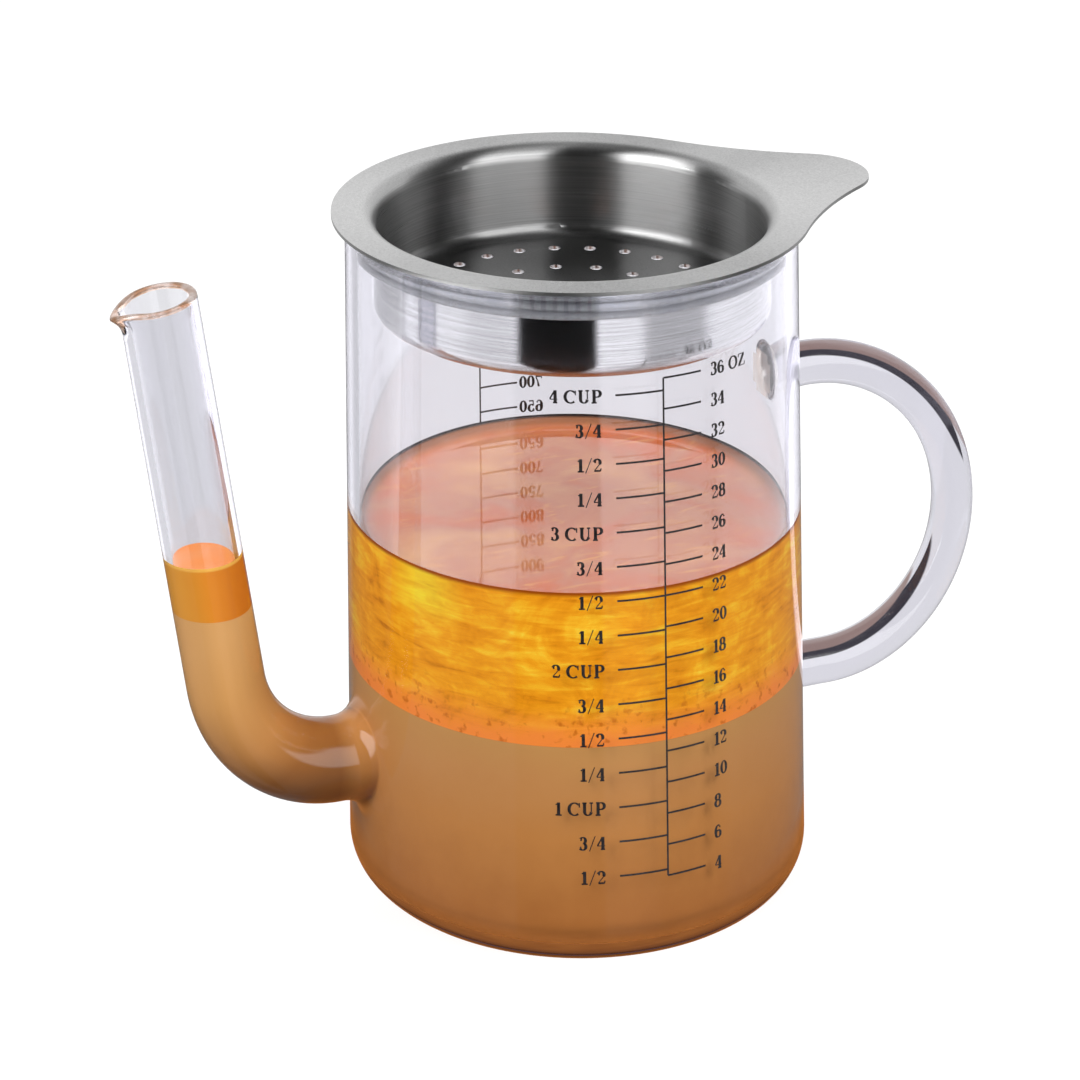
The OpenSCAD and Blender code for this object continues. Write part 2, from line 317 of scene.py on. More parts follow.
def add(tree, kind, inputs=None, stops=(), **settings):
    """Adds a shader node with its settings, and sets or links its inputs.

    A node given for an input stands for the first output that it has in use, and
    a hex code for its colour. stops are a colour ramp's places and hex codes.
    """
    made = tree.nodes.new("ShaderNode" + kind)
    for name, value in settings.items():
        setattr(made, name, value)
    for name, value in (inputs or {}).items():
        in_use = [s for s in made.inputs if s.enabled and s.name == name]
        socket = in_use[0] if in_use else made.inputs[name]
        if isinstance(value, str):
            value = linear(value)
        if isinstance(value, bpy.types.Node):
            value = next(s for s in value.outputs if s.enabled)
        if isinstance(value, bpy.types.NodeSocket):
            tree.links.new(value, socket)
        else:
            socket.default_value = value
    for at, _ in stops[1:-1]:
        made.color_ramp.elements.new(at)
    for k, (at, code) in enumerate(stops):
        made.color_ramp.elements[k].position = at
        made.color_ramp.elements[k].color = linear(code)
    return made


def material(name):
    made = bpy.data.materials.new(name)
    made.use_nodes = True
    made.node_tree.nodes.clear()
    return made, made.node_tree


def every(mm):
    """Scale of a pattern whose features are this far apart."""
    return 1 / (mm * MM)


def mm_range(low, high):
    return {"From Min": low * MM, "From Max": high * MM}


FALLING = {"To Min": 1.0, "To Max": 0.0}
GLASS_IOR = 1.47

# Borosilicate glass, blown and flame-worked: colourless in a thin wall and a cool
# grey along its edges, where the eye looks through more of it. Its surface swims
# a little where it was drawn.
borosilicate, tree = material("flame_worked_borosilicate_glass")
place = add(tree, "TexCoord").outputs["Object"]
swim = add(tree, "TexNoise", {"Vector": place, "Scale": every(22), "Detail": 1.0})
ripple = add(tree, "Bump", {"Height": swim, "Strength": 0.05, "Distance": 0.4 * MM})
# The spout is tinted a shade greyer than the blown vessel
across = add(tree, "SeparateXYZ", {"Vector": place})
in_tube = add(tree, "MapRange", {"Value": across, **mm_range(-JUG_R - 12.5, -JUG_R - 4.5)})
tint = add(tree, "Mix", {"Factor": in_tube, "A": "#efeff2", "B": "#fbfbfd"}, data_type="RGBA")
look = {"Base Color": tint, "Roughness": 0.0, "IOR": GLASS_IOR, "Transmission Weight": 1.0, "Normal": ripple}
body = add(tree, "BsdfPrincipled", look)
depth = add(tree, "VolumeAbsorption", {"Color": "#d4d2df", "Density": 80.0})
add(tree, "OutputMaterial", {"Surface": body, "Volume": depth})
glass_jug = glass_skin.build("glass_jug", borosilicate)

# The glass of the handle's upper weld is drawn pale, half clear and lumpy: its pale colour is painted light,
# standing in for the light that the rod carries out at the weld.
weld_light_glass, tree = material("weld_glass_painted_light")
place = add(tree, "TexCoord").outputs["Object"]
bubbles = add(tree, "TexNoise", {"Vector": place, "Scale": every(2.5), "Detail": 3.0})
cloud = add(tree, "MapRange", {"Value": bubbles, "To Min": 0.05, "To Max": 0.4})
lumps = add(tree, "Bump", {"Height": bubbles, "Strength": 0.4, "Distance": 0.5 * MM})
# The pale base colour is painted light
look = {"Base Color": "#ebe5df", "Roughness": cloud, "IOR": GLASS_IOR, "Transmission Weight": 0.65}
body = add(tree, "BsdfPrincipled", {**look, "Normal": lumps})
add(tree, "OutputMaterial", {"Surface": body})
glass_jug.data.materials.append(weld_light_glass)

# The spout's fire-polished rim is thick and round. Its warm colours are painted in: a painted reflection of
# the table, as a bead of glass shows it.
rim_reflection_glass, tree = material("fire_polished_rim_painted_reflection")
place = add(tree, "TexCoord").outputs["Object"]
bubbles = add(tree, "TexNoise", {"Vector": place, "Scale": every(3), "Detail": 2.0})
# The base colour is a painted reflection of the warm table
tint = add(tree, "ValToRGB", {"Fac": bubbles}, [(0.35, "#b58a6c"), (0.65, "#e6d6d0")])
look = {"Base Color": tint, "Roughness": 0.04, "IOR": GLASS_IOR, "Transmission Weight": 0.68}
add(tree, "OutputMaterial", {"Surface": add(tree, "BsdfPrincipled", look)})
glass_jug.data.materials.append(rim_reflection_glass)

# Through the thick floor the eye sees the gravy, so the underside is painted in its brown, a painted
# reflection, and made to glow with it: painted light, as if lit from inside.
foot_gravy_glow_glass, tree = material("foot_glass_painted_gravy_glow")
place = add(tree, "TexCoord").outputs["Object"]
cloud = add(tree, "TexNoise", {"Vector": place, "Scale": every(9), "Detail": 4.0})
tint = add(tree, "ValToRGB", {"Fac": cloud}, [(0.3, "#8a5527"), (0.7, "#a0672f")])
look = {"Base Color": tint, "Roughness": 0.3, "IOR": GLASS_IOR}
# The emission is painted light
body = add(tree, "BsdfPrincipled", {**look, "Emission Color": tint, "Emission Strength": 1.7})
add(tree, "OutputMaterial", {"Surface": body})
glass_jug.data.materials.append(foot_gravy_glow_glass)

WELD_R = 6.2  # reach of the weld's pale glass, which is painted light
UNDERSIDE_Z = 1.0
SPOUT_TOP_X = -80  # only the spout's upper end reaches further
upper_weld = Vector((JUG_R, 0, ROD_TOP_Z))
for face in glass_jug.data.polygons:
    at = face.center / MM
    off = at - mouth
    beak = off.dot(lip_way) > SPOUT_R + LIP_BULGE and off.dot(tube_axis) > -LIP_DEPTH
    if (at - upper_weld).length < WELD_R:
        face.material_index = 1
    elif at.z < UNDERSIDE_Z:
        face.material_index = 3
    elif at.x < SPOUT_TOP_X and (off.dot(tube_axis) > -0.1 or beak):
        face.material_index = 2
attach(glass_jug, "jug")
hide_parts("jug_vessel", "spout_tube", "handle_rod")
# Light reaches what is in the jug as if the glass were not there.
glass_jug.visible_shadow = False
glass_jug.visible_diffuse = False

# ---- Printed scales ----
# Black enamel, screen-printed in a plain book type and fired into the outside of
# the glass: cups and ounces at the front, millilitres at the back.
TYPE_H = 2.9  # height of the figures, in mm
STEM, HAIR, THIN = 0.25, 0.10, 0.07  # widths of strokes, as shares of that height
LINE_W = 0.45
PRINT_R = JUG_R - 0.02  # the enamel is sunk a little into the glass
SCALE_LOW_Z, LOW_ML, ML_PER_MM = 19.7, 113.6, 8.23
OUNCE_ML, CUP_ML = 28.41, 250
LAST_OUNCE, LAST_CUP, LAST_ML = 36, 4, 1000
OUNCE_MARK_X, OUNCE_TEXT_X = 9.6, 12.2
CUP_MARK_X, CUP_TEXT_X = -11.2, -14.2
ML_LINE_X, ML_MARK_X, ML_TEXT_X = 4.4, -5.9, -6.4
OUNCE_DROP, CUP_DROP = 0.2, 0.1  # how far the figures sit below the middle of their marks


def bowl(cx, cy, rx, ry, start, end):
    """Points and widths along an arc, thick at its sides and thin at top and bottom."""
    steps = max(6, int(abs(end - start) / 15))
    angles = [math.radians(start + (end - start) * k / steps) for k in range(steps + 1)]
    return [
        (cx + rx * math.cos(a), cy + ry * math.sin(a), HAIR + (STEM - HAIR) * abs(math.cos(a)) ** 1.4)
        for a in angles
    ]


def line(x0, y0, x1, y1, w):
    return [(x0, y0, w), (x1, y1, w)]


def ball(x, y, r=0.075):
    widths = [0.25, 1.3, 1.85, 2, 1.85, 1.3, 0.25]
    return [(x - r + 2 * r * k / 6, y, r * w) for k, w in enumerate(widths)]


def serif(x, y, half=0.17):
    return line(x - half, y, x + half, y, HAIR * 1.2)


SIX = [
    bowl(0.34, 0.47, 0.25, 0.47, 62, 200),
    bowl(0.34, 0.29, 0.22, 0.26, 0, 360),
    ball(0.50, 0.80),
]
NINE = [[(0.68 - x, 1 - y, w) for x, y, w in stroke] for stroke in SIX]
# Each letter has its width and its strokes, on a height of 1
TYPE = {
    "0": (0.72, [bowl(0.34, 0.5, 0.23, 0.46, 0, 360)]),
    "1": (0.62, [line(0.32, 0.02, 0.32, 0.98, STEM), line(0.10, 0.80, 0.34, 0.95, HAIR),
                 serif(0.32, 0.03, 0.24)]),
    "2": (0.72, [bowl(0.31, 0.71, 0.22, 0.25, 170, -35), line(0.49, 0.57, 0.10, 0.10, 0.08),
                 line(0.08, 0.07, 0.56, 0.07, 0.14), line(0.56, 0.05, 0.60, 0.26, HAIR), ball(0.15, 0.73)]),
    "3": (0.72, [bowl(0.31, 0.73, 0.20, 0.23, 150, -90), bowl(0.30, 0.26, 0.24, 0.25, 90, -150),
                 ball(0.17, 0.77), ball(0.13, 0.20)]),
    "4": (0.72, [line(0.46, 0.02, 0.46, 0.98, STEM), line(0.42, 0.95, 0.05, 0.31, HAIR * 1.2),
                 line(0.04, 0.29, 0.64, 0.29, 0.075), serif(0.46, 0.03)]),
    "5": (0.72, [line(0.14, 0.92, 0.52, 0.92, 0.12), line(0.15, 0.95, 0.13, 0.50, HAIR),
                 bowl(0.30, 0.31, 0.24, 0.29, 135, -150), ball(0.13, 0.20)]),
    "6": (0.72, SIX),
    "7": (0.70, [line(0.09, 0.90, 0.60, 0.90, 0.14), line(0.10, 0.95, 0.07, 0.70, HAIR),
                 [(0.59, 0.88, HAIR), (0.42, 0.50, 0.12), (0.32, 0.02, 0.20)]]),
    "8": (0.72, [bowl(0.34, 0.73, 0.19, 0.23, 0, 360), bowl(0.34, 0.26, 0.24, 0.25, 0, 360)]),
    "9": (0.72, NINE),
    "/": (0.66, [line(0.08, -0.10, 0.54, 1.06, 0.075)]),
    " ": (0.42, []),
    "C": (1.02, [bowl(0.50, 0.5, 0.42, 0.47, 48, 312), line(0.87, 0.62, 0.87, 0.98, HAIR),
                 line(0.80, 0.86, 0.87, 0.68, 0.08)]),
    "U": (1.04, [[(0.24, 0.97, STEM), (0.24, 0.35, STEM)] + bowl(0.50, 0.33, 0.26, 0.30, 180, 350)[1:],
                 line(0.76, 0.30, 0.76, 0.97, HAIR), serif(0.24, 0.96), serif(0.76, 0.96, 0.14)]),
    "P": (0.84, [line(0.24, 0.02, 0.24, 0.98, STEM), bowl(0.46, 0.71, 0.26, 0.25, 90, -90),
                 line(0.20, 0.96, 0.48, 0.96, HAIR), line(0.20, 0.46, 0.48, 0.46, HAIR),
                 serif(0.24, 0.03, 0.2), serif(0.2, 0.97, 0.12)]),
    "O": (1.00, [bowl(0.48, 0.5, 0.38, 0.47, 0, 360)]),
    "Z": (0.86, [line(0.10, 0.95, 0.74, 0.95, THIN), line(0.66, 0.93, 0.16, 0.07, STEM),
                 line(0.08, 0.05, 0.76, 0.05, THIN), line(0.10, 0.97, 0.08, 0.72, HAIR),
                 line(0.76, 0.03, 0.79, 0.30, HAIR)]),
    "M": (1.10, [line(0.20, 0.02, 0.20, 0.98, HAIR), line(0.22, 0.98, 0.52, 0.08, STEM * 0.9),
                 line(0.52, 0.04, 0.82, 0.98, HAIR), line(0.86, 0.02, 0.86, 0.98, STEM),
                 serif(0.20, 0.03, 0.15), serif(0.86, 0.03), serif(0.14, 0.97, 0.1), serif(0.9, 0.97, 0.1)]),
    "L": (0.84, [line(0.24, 0.02, 0.24, 0.98, STEM), line(0.12, 0.04, 0.74, 0.04, THIN),
                 line(0.74, 0.02, 0.77, 0.34, HAIR), serif(0.24, 0.97, 0.2)]),
}


class Print:
    """Ribbons of enamel on the glass. x runs to the reader's right from the middle line, at turn."""

    def __init__(self, turn):
        self.skin, self.turn = Skin(), turn

    def stroke(self, points):
        """Lays a ribbon along points of (x, z, width), in steps of about 1 mm round the glass."""
        steps = []
        for start, end in zip(points, points[1:]):
            parts = max(1, int(math.hypot(end[0] - start[0], end[1] - start[1])))
            for k in range(parts):
                steps.append([a + (b - a) * k / parts for a, b in zip(start, end)])
        steps.append(points[-1])
        sides = []
        for k, (x, y, w) in enumerate(steps):
            ax, ay, _ = steps[max(0, k - 1)]
            bx, by, _ = steps[min(len(steps) - 1, k + 1)]
            long = math.hypot(bx - ax, by - ay) or 1
            nx, ny = -(by - ay) / long * w / 2, (bx - ax) / long * w / 2
            spots = []
            for px, py in ((x + nx, y + ny), (x - nx, y - ny)):
                a = self.turn + px / JUG_R
                spots.append((PRINT_R * math.cos(a), PRINT_R * math.sin(a), py))
            sides.append(self.skin.ring(spots))
        self.skin.faces += [(a[0], a[1], b[1], b[0]) for a, b in zip(sides, sides[1:])]

    def words(self, text, x, z, right=False):
        """Sets text from x, or up to x if right, with its middle at the height z."""
        width = sum(TYPE[c][0] for c in text) * TYPE_H
        at = x - width if right else x
        for c in text:
            advance, strokes = TYPE[c]
            for s in strokes:
                self.stroke([(at + px * TYPE_H, z + (py - 0.5) * TYPE_H, w * TYPE_H) for px, py, w in s])
            at += advance * TYPE_H

    def rule(self, x0, z0, x1, z1):
        self.stroke([(x0, z0, LINE_W), (x1, z1, LINE_W)])


def mark_z(ml):
    """Height of the mark for this volume."""
    return SCALE_LOW_Z + (ml - LOW_ML) / ML_PER_MM


# The front scales share one upright line: ounces on its right and cups on its left.
front = Print(math.radians(-90))
front.rule(0, mark_z(4 * OUNCE_ML), 0, mark_z(LAST_OUNCE * OUNCE_ML))
for ounces in range(4, LAST_OUNCE + 1, 2):
    z = mark_z(ounces * OUNCE_ML)
    front.rule(0, z, OUNCE_MARK_X, z)
    front.words(f"{ounces} OZ" if ounces == LAST_OUNCE else str(ounces), OUNCE_TEXT_X, z - OUNCE_DROP)
for quarters in range(2, 4 * LAST_CUP + 1):
    z = mark_z(quarters * CUP_ML / 4)
    front.rule(CUP_MARK_X, z, 0, z)
    whole, part = divmod(quarters, 4)
    label = ("", "1/4", "1/2", "3/4")[part] or f"{whole} CUP"
    front.words(label, CUP_TEXT_X, z - CUP_DROP, right=True)

# The scale at the back has its line on the reader's right.
back = Print(math.radians(90))
back.rule(ML_LINE_X, mark_z(100), ML_LINE_X, mark_z(LAST_ML))
for ml in range(100, LAST_ML + 1, 50):
    z = mark_z(ml)
    back.rule(ML_MARK_X, z, ML_LINE_X, z)
    back.words(f"{ml} ML" if ml == LAST_ML else str(ml), ML_TEXT_X, z, right=True)

# Fired enamel is a matt near-black, a little uneven where the screen laid it thin.
# The unevenness is drawn at 1.2 mm, coarser than in life, to show at all.
enamel, tree = material("fired_black_enamel")
place = add(tree, "TexCoord").outputs["Object"]
grain = add(tree, "TexNoise", {"Vector": place, "Scale": every(1.2), "Detail": 3.0})
ink = add(tree, "ValToRGB", {"Fac": grain}, [(0.3, "#100d0e"), (0.75, "#2c2728")])
dull = add(tree, "MapRange", {"Value": grain, "To Min": 0.35, "To Max": 0.6})
body = add(tree, "BsdfPrincipled", {"Base Color": ink, "Roughness": dull, "IOR": 1.5})
add(tree, "OutputMaterial", {"Surface": body})
for name, printed in (("front_scale", front), ("back_scale", back)):
    scale = printed.skin.build(name, enamel)
    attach(scale, "jug")

# ---- Steel strainer ----
# Drawn and punched from one sheet of stainless steel. The flange and its tab
# have a fine satin grain, which is evenly grey, and the cup is brushed round and
# round, so it mirrors the studio in soft upright streaks.
CUP_BOTTOM_Z, CUP_WALL_Z = 129, 136  # just above its bottom, and where its wall is plain
steel, tree = material("satin_stainless_steel")
place = add(tree, "TexCoord").outputs["Object"]
height = add(tree, "SeparateXYZ", {"Vector": place}).outputs["Z"]
outward = add(tree, "NewGeometry").outputs["Normal"]
facing = add(tree, "SeparateXYZ", {"Vector": outward}).outputs["Z"]
flatness = add(tree, "Math", {0: facing}, operation="ABSOLUTE")
flatness = add(tree, "MapRange", {"Value": flatness, "From Min": 0.35, "From Max": 0.8})
# Brush lines are 0.35 mm apart and run 45 mm round the wall, and the satin's grain
# is 0.45 mm. Both are drawn coarser than in life, to show at all.
round_wall = add(tree, "Mapping", {"Vector": place, "Scale": (every(45.5), every(45.5), every(0.35))})
brushing = add(tree, "TexNoise", {"Vector": round_wall, "Scale": 1.0, "Detail": 4.0, "Roughness": 0.7})
satin = add(tree, "TexNoise", {"Vector": place, "Scale": every(0.45), "Detail": 2.0})
satin = add(tree, "MapRange", {"Value": satin, "To Min": 0.30, "To Max": 0.80})
grain = add(tree, "Mix", {"Factor": flatness, "A": brushing, "B": satin}, data_type="FLOAT")
tone = add(tree, "ValToRGB", {"Fac": grain}, [(0.25, "#a9a9a9"), (0.75, "#d8d8d8")])
# apart is the distance from the axis on the cup's outside, and less than 0 inside it
apart = add(tree, "VectorMath", {0: place, 1: outward}, operation="MULTIPLY")
apart = add(tree, "SeparateXYZ", {"Vector": apart})
apart = add(tree, "Math", {0: apart.outputs["X"], 1: apart.outputs["Y"]}, operation="ADD")
# The cup's inside is painted darker than its polished outside, and its bottom darkest of all: painted shade
# in the hollow of the cup
inside = add(tree, "MapRange", {"Value": apart, **mm_range(-24, -8), "To Min": 0.78, "To Max": 1.0})
above = add(tree, "MapRange", {"Value": height, **mm_range(CUP_BOTTOM_Z, CUP_WALL_Z)})
low = add(tree, "Math", {0: 1.0, 1: above}, operation="SUBTRACT")
up = add(tree, "MapRange", {"Value": facing, "From Min": 0.3, "From Max": 0.8})
bottom_shade = add(tree, "Math", {0: up, 1: low}, operation="MULTIPLY")
bottom_shade = add(tree, "MapRange", {"Value": bottom_shade, "To Min": 1.0, "To Max": 0.2})
shade = add(tree, "Math", {0: inside, 1: bottom_shade}, operation="MULTIPLY")
shade = add(tree, "VectorMath", {0: tone, "Scale": shade}, operation="SCALE")
rough = {"Value": grain, "From Min": 0.3, "From Max": 0.7, "To Min": 0.34, "To Max": 0.22}
rough = add(tree, "MapRange", rough)
handled = add(tree, "TexNoise", {"Vector": place, "Scale": every(30), "Detail": 3.0})
worn = add(tree, "Math", {0: handled, 1: 0.08, 2: rough}, operation="MULTIPLY_ADD")
polish = add(tree, "MapRange", {"Value": apart, **mm_range(8, 24), "To Min": 1.0, "To Max": 0.5})
worn = add(tree, "Math", {0: worn, 1: polish}, operation="MULTIPLY")
# The sheet's cut edge, just over the jug's rim, is sheared and dull
sheer = add(tree, "Math", {0: 1.0, 1: flatness}, operation="SUBTRACT")
edge = add(tree, "Math", {0: height, 1: (JUG_H - 0.05) * MM}, operation="GREATER_THAN")
edge = add(tree, "Math", {0: edge, 1: sheer}, operation="MULTIPLY")
worn = add(tree, "Math", {0: edge, 1: 0.5, 2: worn}, operation="MULTIPLY_ADD")
look = {
    "Base Color": shade,
    "Metallic": 1.0,
    "Roughness": worn,
    "Anisotropic": 0.95,
    "Anisotropic Rotation": 0.25,
    "Tangent": add(tree, "Tangent", direction_type="RADIAL", axis="Z"),
    "Normal": add(tree, "Bump", {"Height": grain, "Strength": 0.12, "Distance": 0.02 * MM}),
}
add(tree, "OutputMaterial", {"Surface": add(tree, "BsdfPrincipled", look)})
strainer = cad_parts["strainer"]
strainer.material_slots[0].material = steel

# ---- Silicone seal ----
# A soft ring with three ribs, moulded in clear silicone and stretched over the
# cup. It is milky where it is thick, and its moulded skin is smooth with a fine bloom.
silicone, tree = material("moulded_clear_silicone")
place = add(tree, "TexCoord").outputs["Object"]
bloom = add(tree, "TexNoise", {"Vector": place, "Scale": every(6), "Detail": 5.0})
milk = add(tree, "ValToRGB", {"Fac": bloom}, [(0.3, "#e9ecf4"), (0.7, "#fbfcff")])
mould = add(tree, "MapRange", {"Value": bloom, "To Min": 0.10, "To Max": 0.26})
look = {"Base Color": milk, "Roughness": mould, "IOR": 1.41, "Transmission Weight": 0.85}
add(tree, "OutputMaterial", {"Surface": add(tree, "BsdfPrincipled", look)})
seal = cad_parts["seal_ring"]
seal.material_slots[0].material = silicone

# ---- Gravy ----
# What the jug holds and no part of it: it has no solid, but it goes where the jug
# goes. It is one body with its column in the spout, and the fat lies on both.
GRAVY_Z, SPOUT_GRAVY_Z = 48.9, 71.2
WET = 0.06  # how far the liquid reaches into the glass, so that no air shows between
WET_R, WET_BORE_R = BORE_R + WET, SPOUT_BORE_R + WET
GRAVY_ROWS = 24
CUT_ROOM = 3  # room in the leaning tube between its filling's last round ring and the level cut
SPOUT_SIDE = mm_range(-JUG_R - 2.5, -JUG_R - 7.5)  # from the jug's wall into the spout
# Gravy is thick and dull, paler where it meets the fat and darker at the bottom,
# with fine curds in it.
gravy_mat, tree = material("roast_gravy")
place = add(tree, "TexCoord").outputs["Object"]
x, _, z = add(tree, "SeparateXYZ", {"Vector": place}).outputs
curds = add(tree, "TexNoise", {"Vector": place, "Scale": every(9), "Detail": 8.0, "Roughness": 0.65})
cloud = add(tree, "Math", {0: curds, 1: 10 * MM, 2: z}, operation="MULTIPLY_ADD")
depth = add(tree, "MapRange", {"Value": cloud, **mm_range(FLOOR_Z + 0.5, GRAVY_Z + 7.1)})
browns = [(0, "#965c2b"), (0.2, "#a76a35"), (0.55, "#c28345"), (0.8, "#c88d52"), (1, "#ca9556")]
shade = add(tree, "ValToRGB", {"Fac": depth}, browns)
# In the spout it is darkest in the neck and pales up the tube
along = add(tree, "Math", {0: x, 1: -0.8, 2: z}, operation="MULTIPLY_ADD")
along = add(tree, "MapRange", {"Value": along, **mm_range(78, 138)})
browns = [(0.1, "#9a6334"), (0.25, "#a86d38"), (0.45, "#cf9050"), (0.75, "#e0a45f"), (1, "#e8ae6b")]
spout_shade = add(tree, "ValToRGB", {"Fac": along}, browns)
in_spout = add(tree, "MapRange", {"Value": x, **SPOUT_SIDE})
shade = add(tree, "Mix", {"Factor": in_spout, "A": shade, "B": spout_shade}, data_type="RGBA")
# Its underside, which no lamp reaches, is made to glow in its own colour: painted light standing in for
# light that soaks through the gravy
underside_glow = {"Value": z, **mm_range(FLOOR_Z + 0.1, FLOOR_Z + 3.5), "To Min": 0.5, "To Max": 0.0}
underside_glow = add(tree, "MapRange", underside_glow)
look = {"Base Color": shade, "Roughness": 0.9, "Specular IOR Level": 0.0}
body = add(tree, "BsdfPrincipled", {**look, "Emission Color": shade, "Emission Strength": underside_glow})
add(tree, "OutputMaterial", {"Surface": body})


def spout_part(skin, path, low, high):
    """Rings of the spout's filling along a path, cut level at the heights low and high."""
    rings = swept(skin, path, WET_BORE_R, SPOUT_AROUND)
    for cut_z, ring in ((low, rings[0]), (high, rings[-1])):
        if cut_z:
            for p in ring:
                x, y, z = skin.points[p]
                skin.points[p] = (x + (cut_z - z) * math.tan(SPOUT_LEAN), y, cut_z)
    skin.mirror(rings)
    return rings


def cap_level(skin, ring):
    middle = [sum(skin.points[p][i] for p in ring) / len(ring) for i in range(3)]
    skin.cap(ring, *middle)


gravy_skin = Skin()
bottom_z = FLOOR_Z - WET
profile = [(r, bottom_z) for r in (4, 20, 40)]
profile += arc(BORE_R - INNER_FOOT_R, FLOOR_Z + INNER_FOOT_R, INNER_FOOT_R + WET, -90, 0, 12)
rings = gravy_skin.lathe(profile)
gravy_skin.bridge_all(rings)
gravy_skin.cap(rings[0], 0, 0, bottom_z)
row_h = (GRAVY_Z - WALL_LOW_Z) / GRAVY_ROWS
wall_z = [WALL_LOW_Z + row_h * k for k in range(GRAVY_ROWS + 1)]
wall = [rings[-1]] + gravy_skin.lathe([(WET_R, z) for z in wall_z[1:]])
hole_port = (WET_BORE_R, BORE_FILLET - WET, SPOUT_HALF)
root, cut = port(gravy_skin, wall, wall_z, WET_R, -1, SPOUT_Z, 0, *hole_port)
gravy_skin.wall(wall, cut)
gravy_skin.close(wall[-1], [(r, GRAVY_Z) for r in (46, 20, 4)])
column = [p for p in spout_path if p[1] <= SPOUT_GRAVY_Z - CUT_ROOM]
rings = spout_part(gravy_skin, column, 0, SPOUT_GRAVY_Z)
gravy_skin.bridge_all([root] + rings)
cap_level(gravy_skin, rings[-1])
gravy = gravy_skin.build("gravy", gravy_mat)
gravy.data.set_sharp_from_angle(angle=math.radians(40))
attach(gravy, "jug")

# ---- Melted fat ----
# The fat has risen on the gravy, in the jug and in the spout. It is held as the
# gravy is, and has no solid either. Its edge creeps up the glass that it wets.
FAT_Z, SPOUT_FAT_Z = 80.2, 83.6
CREEP_H, CREEP_W = 3, 1.1  # how high its edge creeps, and how fast that dies away inward
FAT_GAP = 0.02  # between the two liquids, so that their faces stay apart
# Melted fat is a clear amber oil. Its colour is painted in folds and ripples, yellow where light comes
# through it and deeper where it folds: partly its own swirls and partly painted light. It has an orange haze
# where it lies on the gravy.
fat_mat, tree = material("melted_roasting_fat")
place = add(tree, "TexCoord").outputs["Object"]
x, y, z = add(tree, "SeparateXYZ", {"Vector": place}).outputs
folds = {"Vector": place, "Scale": every(13), "Detail": 8.0, "Roughness": 0.65, "Distortion": 1.0}
folds = add(tree, "TexNoise", folds)
layered = add(tree, "Mapping", {"Vector": place, "Scale": (1, 1, 6)})
ripples = {"Vector": layered, "Scale": every(11), "Detail": 6.0, "Roughness": 0.6, "Distortion": 0.7}
ripples = add(tree, "TexNoise", ripples)
glow = add(tree, "Mix", {"Factor": 0.48, "A": folds, "B": ripples}, data_type="FLOAT")
ambers = [(0.31, "#c46c0c"), (0.42, "#ed9418"), (0.51, "#f8a41e"), (0.60, "#ffc02c"), (0.68, "#ffe04a")]
fat_colour = add(tree, "ValToRGB", {"Fac": glow}, ambers)
# A pool of light from the left is painted in yellow just under its surface, at this turn
LIT_TURN = math.radians(-153)
turned = add(tree, "Math", {0: y, 1: x}, operation="ARCTAN2")
turned = add(tree, "Math", {0: turned, 1: LIT_TURN}, operation="SUBTRACT")
turned = add(tree, "Math", {0: turned}, operation="ABSOLUTE")
beam = add(tree, "MapRange", {"Value": turned, "From Min": 0.06, "From Max": 0.22, **FALLING})
under = add(tree, "MapRange", {"Value": z, **mm_range(FAT_Z - 9.2, FAT_Z - 4.2)})
beam = add(tree, "Math", {0: beam, 1: under}, operation="MULTIPLY")
beam = add(tree, "Math", {0: beam, 1: ripples}, operation="MULTIPLY")
fat_colour = add(tree, "Mix", {"Factor": beam, "A": fat_colour, "B": "#fff03c"}, data_type="RGBA")
# An orange haze rises from the gravy in folds
low = add(tree, "Math", {0: folds, 1: -12 * MM, 2: z}, operation="MULTIPLY_ADD")
low = {"Value": low, **mm_range(GRAVY_Z - 5.9, GRAVY_Z + 4.1), **FALLING}
low = add(tree, "MapRange", low, interpolation_type="SMOOTHSTEP")
fat_colour = add(tree, "Mix", {"Factor": low, "A": fat_colour, "B": "#f88c3c"}, data_type="RGBA")
# Crumbs of browned roast hang in its lower part
crumbs = add(tree, "TexNoise", {"Vector": place, "Scale": every(2.2), "Detail": 3.0})
crumbs = add(tree, "MapRange", {"Value": crumbs, "From Min": 0.58, "From Max": 0.68})
deep = add(tree, "MapRange", {"Value": z, **mm_range(GRAVY_Z + 13.1, GRAVY_Z + 5.1), "To Max": 0.7})
crumbs = add(tree, "Math", {0: crumbs, 1: deep}, operation="MULTIPLY")
fat_colour = add(tree, "Mix", {"Factor": crumbs, "A": fat_colour, "B": "#c9641a"}, data_type="RGBA")
# Where its edge creeps up the glass it is redder
creep = add(tree, "MapRange", {"Value": z, **mm_range(FAT_Z + 1.8, FAT_Z + 2.6)})
fat_colour = add(tree, "Mix", {"Factor": creep, "A": fat_colour, "B": "#a9510f"}, data_type="RGBA")
# In the narrow spout it is smooth and redder. Across the tube it is painted lighter on its outer side and
# darker towards the jug, as painted light and shade, and its upper edge has a painted highlight
across = add(tree, "Math", {0: z, 1: math.tan(SPOUT_LEAN), 2: x}, operation="MULTIPLY_ADD")
across = add(tree, "Math", {0: folds, 1: 3 * MM, 2: across}, operation="MULTIPLY_ADD")
across = add(tree, "MapRange", {"Value": across, **mm_range(-83, -68)})
in_tube = add(tree, "ValToRGB", {"Fac": across}, [(0, "#efa63e"), (0.45, "#ee9230"), (1, "#e27a24")])
